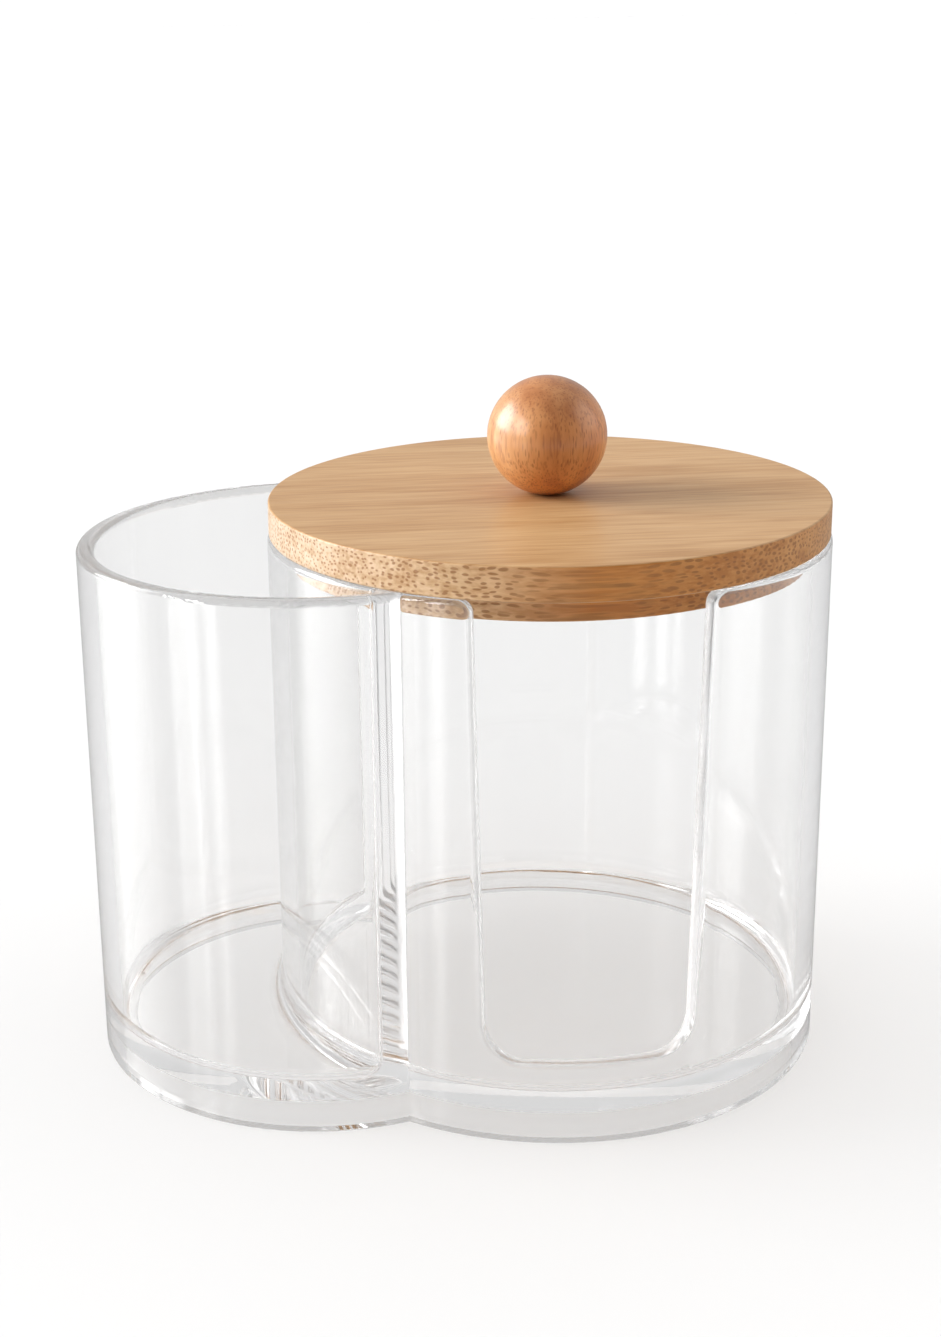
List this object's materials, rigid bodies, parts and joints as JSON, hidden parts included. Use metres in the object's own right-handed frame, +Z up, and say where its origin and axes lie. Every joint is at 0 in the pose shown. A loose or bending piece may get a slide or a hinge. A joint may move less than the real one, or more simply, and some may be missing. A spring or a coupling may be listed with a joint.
{
  "type": "cotton swab holder",
  "caption": "Clear holder with a round slotted swab cup joined to an open side cup, and a lift-off bamboo lid with a ball knob.",
  "frame": {"origin": "on the table, under the middle of the clear moulding's footprint", "axes": "+X from the open side cup to the lidded cup, +Y towards the back (the slot faces -Y), +Z up"},
  "size_m": [0.1344, 0.1006, 0.1226],
  "materials": {
    "clear_plastic": "clear polished moulding",
    "bamboo": "satin oiled bamboo",
    "knob_wood": "satin lacquered turned wood",
    "screw_steel": "zinc plated"
  },
  "bodies": {
    "holder": {"clear_cups": "clear_plastic"},
    "lid_body": {"lid": "bamboo", "knob": "knob_wood", "knob_screw": "screw_steel"}
  },
  "joints": [
    {"name": "lid_lift", "type": "slide", "parent": "holder", "child": "lid_body", "axis": [0, 0, 1], "range_m": [0, 0.06]}
  ]
}
